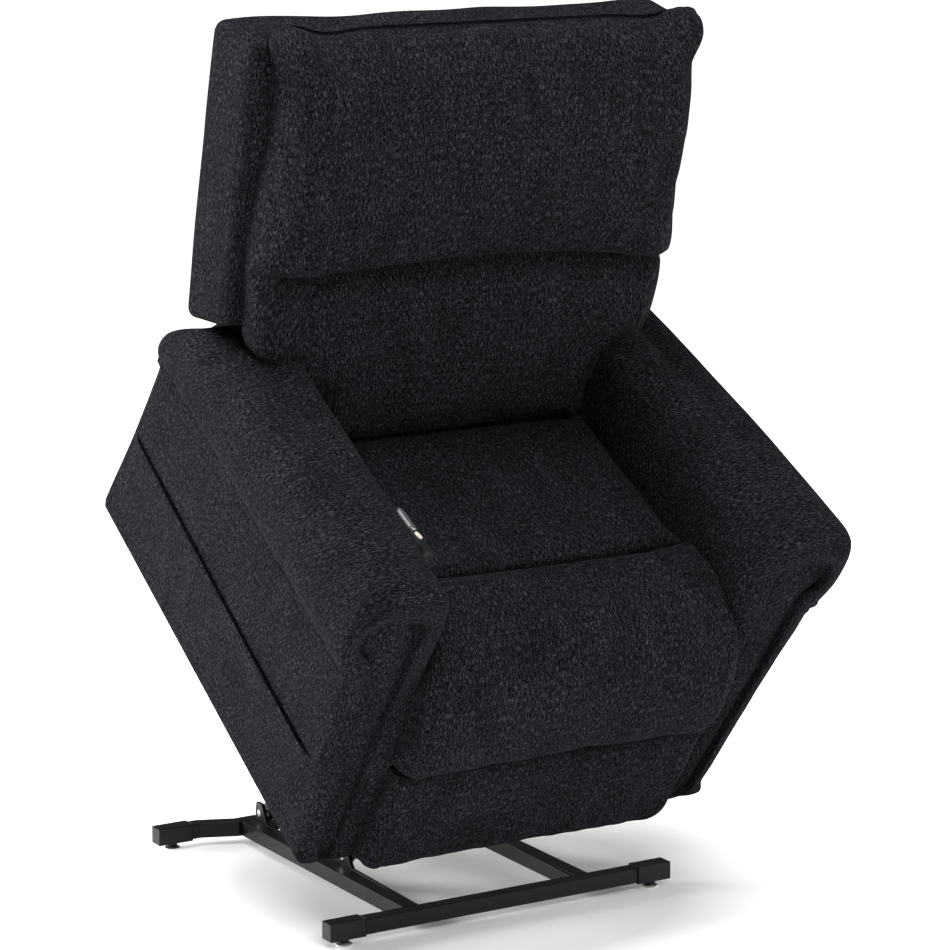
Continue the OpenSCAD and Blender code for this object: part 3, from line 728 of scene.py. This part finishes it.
# ---------------------------------------------------------------- arms
# outline of an arm at its front (x, z) and the edge of the inset front panel (x, z), for the sitter's left
ARM = [(281, 36.5, 319, 46), (272, 39, 317, 48), (268.5, 47, 316, 56), (267, 200, 317, 200), (266, 370, 317, 366), (266.5, 500, 315, 480),
       (267.5, 540, 313.5, 530), (270.5, 566, 314.5, 549), (278, 587, 319, 559), (290, 603, 328, 563.5), (308, 619, 342, 565.3),
       (332, 632, 355, 566.2), (358, 640, 369, 566.8), (382, 641, 381, 567), (402, 636, 393, 566), (419, 624, 402, 562),
       (431, 606, 409, 554), (438.5, 582, 412, 542), (442.5, 555, 412.5, 531), (442.5, 530, 411, 519), (440, 508, 406.5, 509),
       (434.5, 490, 400, 502.5), (428.2, 477, 394.5, 497.5), (425.2, 471, 391.5, 495), (427.6, 466, 390, 493.3), (427.4, 460.5, 388.8, 491.5), (423, 457.4, 387.4, 489.5),
       (416.5, 457.8, 386.3, 487), (414.4, 454.5, 385.2, 484), (414.2, 446, 384, 480), (413.2, 430, 382, 473),
       (404, 335, 371.5, 345), (390, 200, 357, 200), (377, 78, 344, 74), (374.3, 50, 341.5, 54), (371, 40, 339.5, 49),
       (362, 36.5, 336, 46.5), (321, 36.5, 327, 46)]
REAR_Y = table([(25, 407), (36, 405), (150, 387), (258, 367), (412, 344), (440, 341), (457, 342), (480, 344), (510, 341), (540, 334),
                (570, 322), (590, 311), (610, 297), (625, 284), (641, 269), (660, 262)])
FRONT = -387.0


def arm_place(x0, z0, y):
    """The arm falls and narrows towards the rear: the place at y of the outline point (x0, z0)."""
    t = np.maximum(y + 386, 0)
    low = 0.035 * t + 0.00003 * t * t
    top = 0.0915 * t + 0.00005 * t * t
    inner = 0.020 * t + 0.00002 * t * t
    foot = 36.8 - 0.0045 * t
    below = foot + (z0 - 36.5) * (457 - low - foot) / 420.5
    above = z0 - (low + (top - low) * np.clip((z0 - 457) / 183, 0, 1))
    outer = np.where(z0 <= 457, below, above)
    side = np.where(z0 <= 400, below, below + (z0 - inner - below) * step(400, 545, z0))
    z = side + (outer - side) * step(286, 350, x0)
    x = np.where(x0 > 370, 370 + (x0 - 370) * (1 - 0.42 * t / 740), x0)
    return x, z


def arm(side):
    """side is 1 for the sitter's left and -1 for the right."""
    name = "left" if side > 0 else "right"
    line = spline(ARM, closed=True, fine=5.5, coarse=13)
    o, f = line[:, :2], line[:, 2:]
    m = len(o)
    gap = np.linalg.norm(f - o, axis=1)
    ox, oz = o.T
    r = 14 + 15 * step(300, 276, ox) * step(330, 440, oz) * (1 - step(560, 620, oz)) + 9 * step(600, 632, oz) - 2 * (ox < 300) * (oz < 320) + 11 * (ox > 350) * step(470, 440, oz) - 6.5 * bell(oz - 250, 45) * (ox < 300)
    r = np.minimum(np.where(oz < 60, 7 + (r - 7) * step(42, 60, oz), r), gap * 0.8)
    rows = []
    # from the rear: floor of the rear panel, its band, the round rear edge, the length of the arm, the round front edge, the front band
    mid = np.stack([325 + (ox - 325) * 0.62, np.clip(oz, 75, 560)], 1)
    y_end = REAR_Y(oz)
    edge = np.where(oz < 60, 6 + 8 * step(40, 60, oz), 14.0)

    def ring(shape, y):
        x, z = arm_place(shape[:, 0], shape[:, 1], y)
        rows.append(np.stack([x, y, z], 1))

    for g, d in ((1.0, 12.0), (0.94, 5.0), (0.80, 1.0), (0.45, 0.4)):
        ring(o + (mid - o) * g * 0.55, y_end - d)
    for th in np.radians([80, 60, 40, 20]):
        ring(o + (mid - o) * (0.20 * (1 - math.cos(th))), y_end - edge * (1 - math.sin(th)))
    for tau in np.linspace(1, 0, 66):
        ring(o, FRONT + r + tau * (y_end - edge - FRONT - r))
    toward = (f - o) / np.maximum(gap, 1e-6)[:, None]
    for th in np.radians([18, 36, 54, 72, 90]):
        ring(o + toward * (r * (1 - math.cos(th)))[:, None], FRONT + r * (1 - math.sin(th)))
    start = o + toward * r[:, None]
    upper = step(575, 612, oz)
    for g, d, cut in ((0.09, -0.6, 0), (0.15, -0.9, 0.8), (0.185, -0.9, 3.8), (0.22, -0.9, 0.8), (0.30, -1.4, 0), (0.5, -1.8, 0),
                      (0.72, -1.2, 0), (0.82, 0.8, 0), (0.90, -2.4, 0), (0.965, -1.8, 0), (1.0, 2.0, 0), (1.0, 9.0, 0), (1.0, 20.0, 0)):
        ring(start + (f - start) * g, FRONT + d + (cut - 4.5 * math.sin(math.pi * min(g, 0.96))) * upper)
    rows = np.array(rows)
    nr = len(rows)
    idx = np.arange(nr * m).reshape(nr, m)
    nxt = np.roll(idx, -1, axis=1)
    quads = np.stack([idx[:-1], idx[1:], nxt[1:], nxt[:-1]], -1).reshape(-1, 4)
    p = rows.reshape(-1, 3)
    n = normals_of(p, quads)
    if np.einsum("ij,ij->i", n, p - [325.0, 0, 300.0])[m * 40:m * 41].sum() < 0:
        n = -n
    x, y, z = p.T
    x0, z0 = np.tile(ox, nr), np.tile(oz, nr)
    pad = step(450, 500, z0) * np.where(x0 > 300, 1, step(520, 590, z0))
    at = p + [0, side * 37, 0]
    tight = (x0 > 370) * (1 - step(300, 400, z0))
    soft = (wob(at, (90, 150, 110), 51) * 2.0 + wob(at, (40, 60, 50), 53) * 0.7) * (1 - 0.8 * tight) * (0.1 + 0.9 * step(40, 75, z0))
    soft += pad * 1.5 * np.sin(np.pi * np.clip((y + 386) / 700, 0, 1))
    # the outer panel is drawn tight, with a slight belly between its edges
    panel = step(60, 150, z0) * (1 - step(330, 430, z0))
    soft += panel * 2.0 * np.sin(np.pi * np.clip((y + 386) / 770, 0, 1)) * (x0 > 370)
    soft += step(FRONT + 40, FRONT + 6, y) * wob(p, (28, 34, 34), 57) * 0.8
    # the lap's edge runs out before the front, at a small tuck
    soft += 3.0 * bell(z0 - 449, 8) * (1 - step(-378, -346, y)) * (x0 > 400)
    soft -= bell(y + 352, 9) * bell(z0 - 452, 7) * (x0 > 400) * 3.0
    inside = np.zeros((nr, m))
    inside[:6] = 1
    inside[-3:] = 1
    q = p + n * (soft * (1 - inside.ravel()))[:, None]
    q[:, 0] *= side
    grid = q.reshape(nr, m, 3)
    uu = np.concatenate([np.zeros((1, m)), np.cumsum(np.linalg.norm(np.diff(grid, axis=0), axis=2), axis=0)]) / 1000
    uu -= uu[40:41]
    ring_len = np.linalg.norm(np.roll(grid, -1, axis=1) - grid, axis=2)
    # the weave meets itself under the arm's foot, and runs in straight lines round the arm
    mean = ring_len[8:74].mean(0)
    vv = np.concatenate([[0], np.cumsum(mean)]) / 1000
    v0, v1 = np.tile(vv[:-1], (nr, 1)), np.tile(vv[1:], (nr, 1))
    u_next = np.roll(uu, -1, axis=1)
    uv = np.stack([np.stack([uu[:-1], v0[:-1]], -1), np.stack([uu[1:], v0[1:]], -1), np.stack([u_next[1:], v1[1:]], -1),
                   np.stack([u_next[:-1], v1[:-1]], -1)], 2).reshape(-1, 4, 2)
    faces = [tuple(f4) for f4 in quads] + [tuple(idx[0]), tuple(idx[-1])]
    flat = [np.stack([grid[e, :, 0], grid[e, :, 2]], 1) / 1000 for e in (0, -1)]
    ob = make("arm_cover_" + name, chair(q), faces, [uv] + flat, [CLOTH])
    soften(ob)
    put(ob, "chair", ["arm_outer_panel_" + name, "arm_inner_panel_" + name, "arm_pad_" + name, "arm_frame_" + name])

    # inset front panel
    inner = table([(44, 318.5), (56, 316), (200, 317), (366, 317), (480, 315), (530, 313.5), (549, 314.5), (559, 319.5), (563.6, 329), (566, 350)])
    outer = table([(44, 338.5), (54, 341.5), (74, 344), (200, 357), (345, 371.5), (473, 382), (484, 385), (491.5, 388.5), (496.5, 393.5),
                   (502, 400), (509, 406.5), (519, 411), (531, 412.5), (542, 412), (554, 409), (562, 402), (565.5, 394), (566.8, 378)])
    a = edged(0, 1, 0.2, 0.13, 5)
    b = np.concatenate([np.linspace(45, 468, 46), np.linspace(474, 558, 18), [561, 563.5, 565.2, 566.2]])
    g, fq, fi = lattice(a, b, np.linspace(0, 1, 3))
    ga, gz, gk = g.T
    lo, hi = inner(gz) - 1.5, outer(gz) + 1.5
    gx = lo + (hi - lo) * ga
    puff = 7.0 * np.sqrt(np.clip(np.sin(np.pi * ga), 0, 1)) * step(44, 60, gz) * (1 - step(535, 567, gz)) + wob2(gx, gz, 40, 60, 61 + side) * 0.6
    gy = FRONT + 20 - 3.5 * (1 - step(470, 560, gz)) - gk * (2.4 + puff)
    gx2, gz2 = arm_place(gx, gz, gy)
    fp = np.stack([gx2 * side, gy, gz2], 1)
    fo = make("arm_facing_" + name, chair(fp), fq, [weave(fp, fi)], [CLOTH])
    soften(fo)
    put(fo, "chair", ["arm_front_panel_" + name])

    # rear panel set into the back of the arm
    g, fq, fi = lattice(edged(0, 1, 0.16, 0.12, 4), np.linspace(56, 548, 46), np.linspace(0, 1, 3))
    ga, gz, gk = g.T
    gx = 281 + (378 + 22 * step(440, 510, gz) + 0.06 * (gz - 56) - 281) * ga
    gy = REAR_Y(gz) - 13 + gk * (11.5 + 1.8 * np.sin(np.pi * ga))
    gx2, gz2 = arm_place(gx, gz, gy)
    fp = np.stack([gx2 * side, gy, gz2], 1)
    ro = make("arm_rear_" + name, chair(fp), fq, [weave(fp, fi)], [CLOTH])
    soften(ro)
    put(ro, "chair")
    return ob


def pocket():
    """Long pocket on the outer side of the sitter's right arm. Its mouth stands open a little, under a folded hem."""
    a = edged(-362, 366, 40, 12, 8)
    b = np.concatenate([np.linspace(70, 214, 13), [221, 227, 231, 234, 237, 240, 243, 245.5, 247]])
    p, quads, idx = lattice(a, b, np.linspace(0, 1, 4))
    y, z, k = p.T
    t = y + 386
    yy = np.where(y > 300, y + (REAR_Y(z) - 366 - 4) * step(300, 366, y), y)
    wall = 370 + (373 + (z - 36.5) * 0.105 - 370) * (1 - 0.42 * t / 740) + 2.0 * step(60, 150, z) * np.sin(np.pi * np.clip(t / 770, 0, 1))
    ends = np.minimum(step(-362, -322, y), 1 - step(335, 366, y))
    ajar = 5.0 * step(150, 246, z) ** 1.5 * ends
    hem = bell(z - 238, 7) * 1.3 - 1.0 * bell(z - 226, 2.6)
    thick = 0.6 + (1.6 * step(80, 160, z) + hem) * ends + wob2(y, z, 90, 80, 71) * 0.5 * step(100, 200, z) * ends
    sunk = 2.6 * (1 - ends) + 2.2 * (1 - step(74, 130, z))
    x = wall - np.minimum(sunk, 2.8) - 1.6 * (1 - step(150, 205, z)) * (1 - k) + ajar + k * thick
    q = np.stack([-x, yy, z], 1)
    ob = make("pocket_cover", chair(q), quads, [weave(q, idx)], [CLOTH])
    soften(ob)
    put(ob, "chair", ["side_pocket"])
    return ob


seat()
roll()
legrest()
back_cushion()
back_shell()
back_lower()
back_apron()
arm(1)
arm(-1)
pocket()

# ---------------------------------------------------------------- floor, light, camera
def studio():
    me = bpy.data.meshes.new("floor")
    me.from_pydata([(-60, -60, 0), (60, -60, 0), (60, 60, 0), (-60, 60, 0)], [], [(0, 1, 2, 3)])
    fl = bpy.data.objects.new("floor", me)
    bpy.context.scene.collection.objects.link(fl)
    m = Nodes("pale_floor")
    wide = m.noise(m.coords(False, (1.5, 1.5, 1.5)), 1.0, 2.0, 0.5)
    c = m.mix(wide, (0.89, 0.89, 0.892), (0.92, 0.92, 0.922))
    m.set(Base_Color=c, Roughness=m.math("ADD", 0.20, m.math("MULTIPLY", wide, 0.08)))
    # the floor glows as painted light: the glow is kept low under the chair, which leaves a painted shade there, and
    # rises outwards to wash out cast shadows
    far = m.add("ShaderNodeVectorMath", operation="LENGTH")
    m.link(m.coords(False, (1, 1, 1)), far.inputs[0])
    floor_glow_painted_light = m.ramp(m.math("MULTIPLY", far.outputs["Value"], 0.2), [(0.07, 0.07), (0.095, 0.40), (0.13, 0.80), (0.22, 0.92), (0.75, 1.0)])
    m.set(Specular_IOR_Level=0.35, Emission_Color=(1, 1, 1, 1), Emission_Strength=floor_glow_painted_light)
    me.materials.append(m.mat)

    # a white sweep all round at eye height, dimmer overhead
    w = bpy.data.worlds.new("studio")
    bpy.context.scene.world = w
    w.use_nodes = True
    t = w.node_tree
    bg = t.nodes["Background"]
    co = t.nodes.new("ShaderNodeTexCoord")
    xyz = t.nodes.new("ShaderNodeSeparateXYZ")
    ramp = t.nodes.new("ShaderNodeValToRGB")
    for e, (at, v) in zip(ramp.color_ramp.elements, ((0.12, 0.30), (0.24, 0.04))):
        e.position = at
        e.color = (v, v, v, 1)
    t.links.new(co.outputs["Generated"], xyz.inputs["Vector"])
    t.links.new(xyz.outputs["Z"], ramp.inputs["Fac"])
    t.links.new(ramp.outputs["Color"], bg.inputs["Color"])
    bg.inputs["Strength"].default_value = 1.0
    bpy.context.scene.view_settings.view_transform = "Standard"

    def lamp(name, at, aim, size, power):
        d = bpy.data.lights.new(name, "AREA")
        d.shape = "RECTANGLE"
        d.size, d.size_y = size
        d.energy = power
        o = bpy.data.objects.new(name, d)
        bpy.context.scene.collection.objects.link(o)
        o.location = at
        o.rotation_mode = "QUATERNION"
        o.rotation_quaternion = (Vector(aim) - Vector(at)).to_track_quat("-Z", "Y")

    lamp("left", (-3.2, 2.4, 1.4), (0, 0, 0.7), (1.6, 1.6), 236)
    lamp("top", (-1.2, 0.1, 4.4), (0, 0, 0.7), (2.4, 2.4), 228)
    lamp("top_front", (-0.6, -3.4, 4.0), (0, 0, 0.7), (2.0, 2.0), 122)
    lamp("right_front", (3.2, -3.4, 1.6), (0, 0, 0.7), (1.8, 1.8), 55)
    lamp("right", (4.2, -0.3, 1.2), (0, 0, 0.7), (1.6, 1.6), 78)

    cam = bpy.data.cameras.new("camera")
    co = bpy.data.objects.new("camera", cam)
    bpy.context.scene.collection.objects.link(co)
    cam.sensor_width = 36.0
    cam.sensor_fit = "HORIZONTAL"
    cam.lens = 142.63
    cam.clip_start, cam.clip_end = 0.05, 200
    eye, aim = Vector((-2.990, -4.9793, 1.8739)), Vector((0.0747, 0.0630, 0.6660))
    co.location = eye
    co.rotation_mode = "QUATERNION"
    co.rotation_quaternion = (aim - eye).to_track_quat("-Z", "Y")
    bpy.context.scene.camera = co


studio()
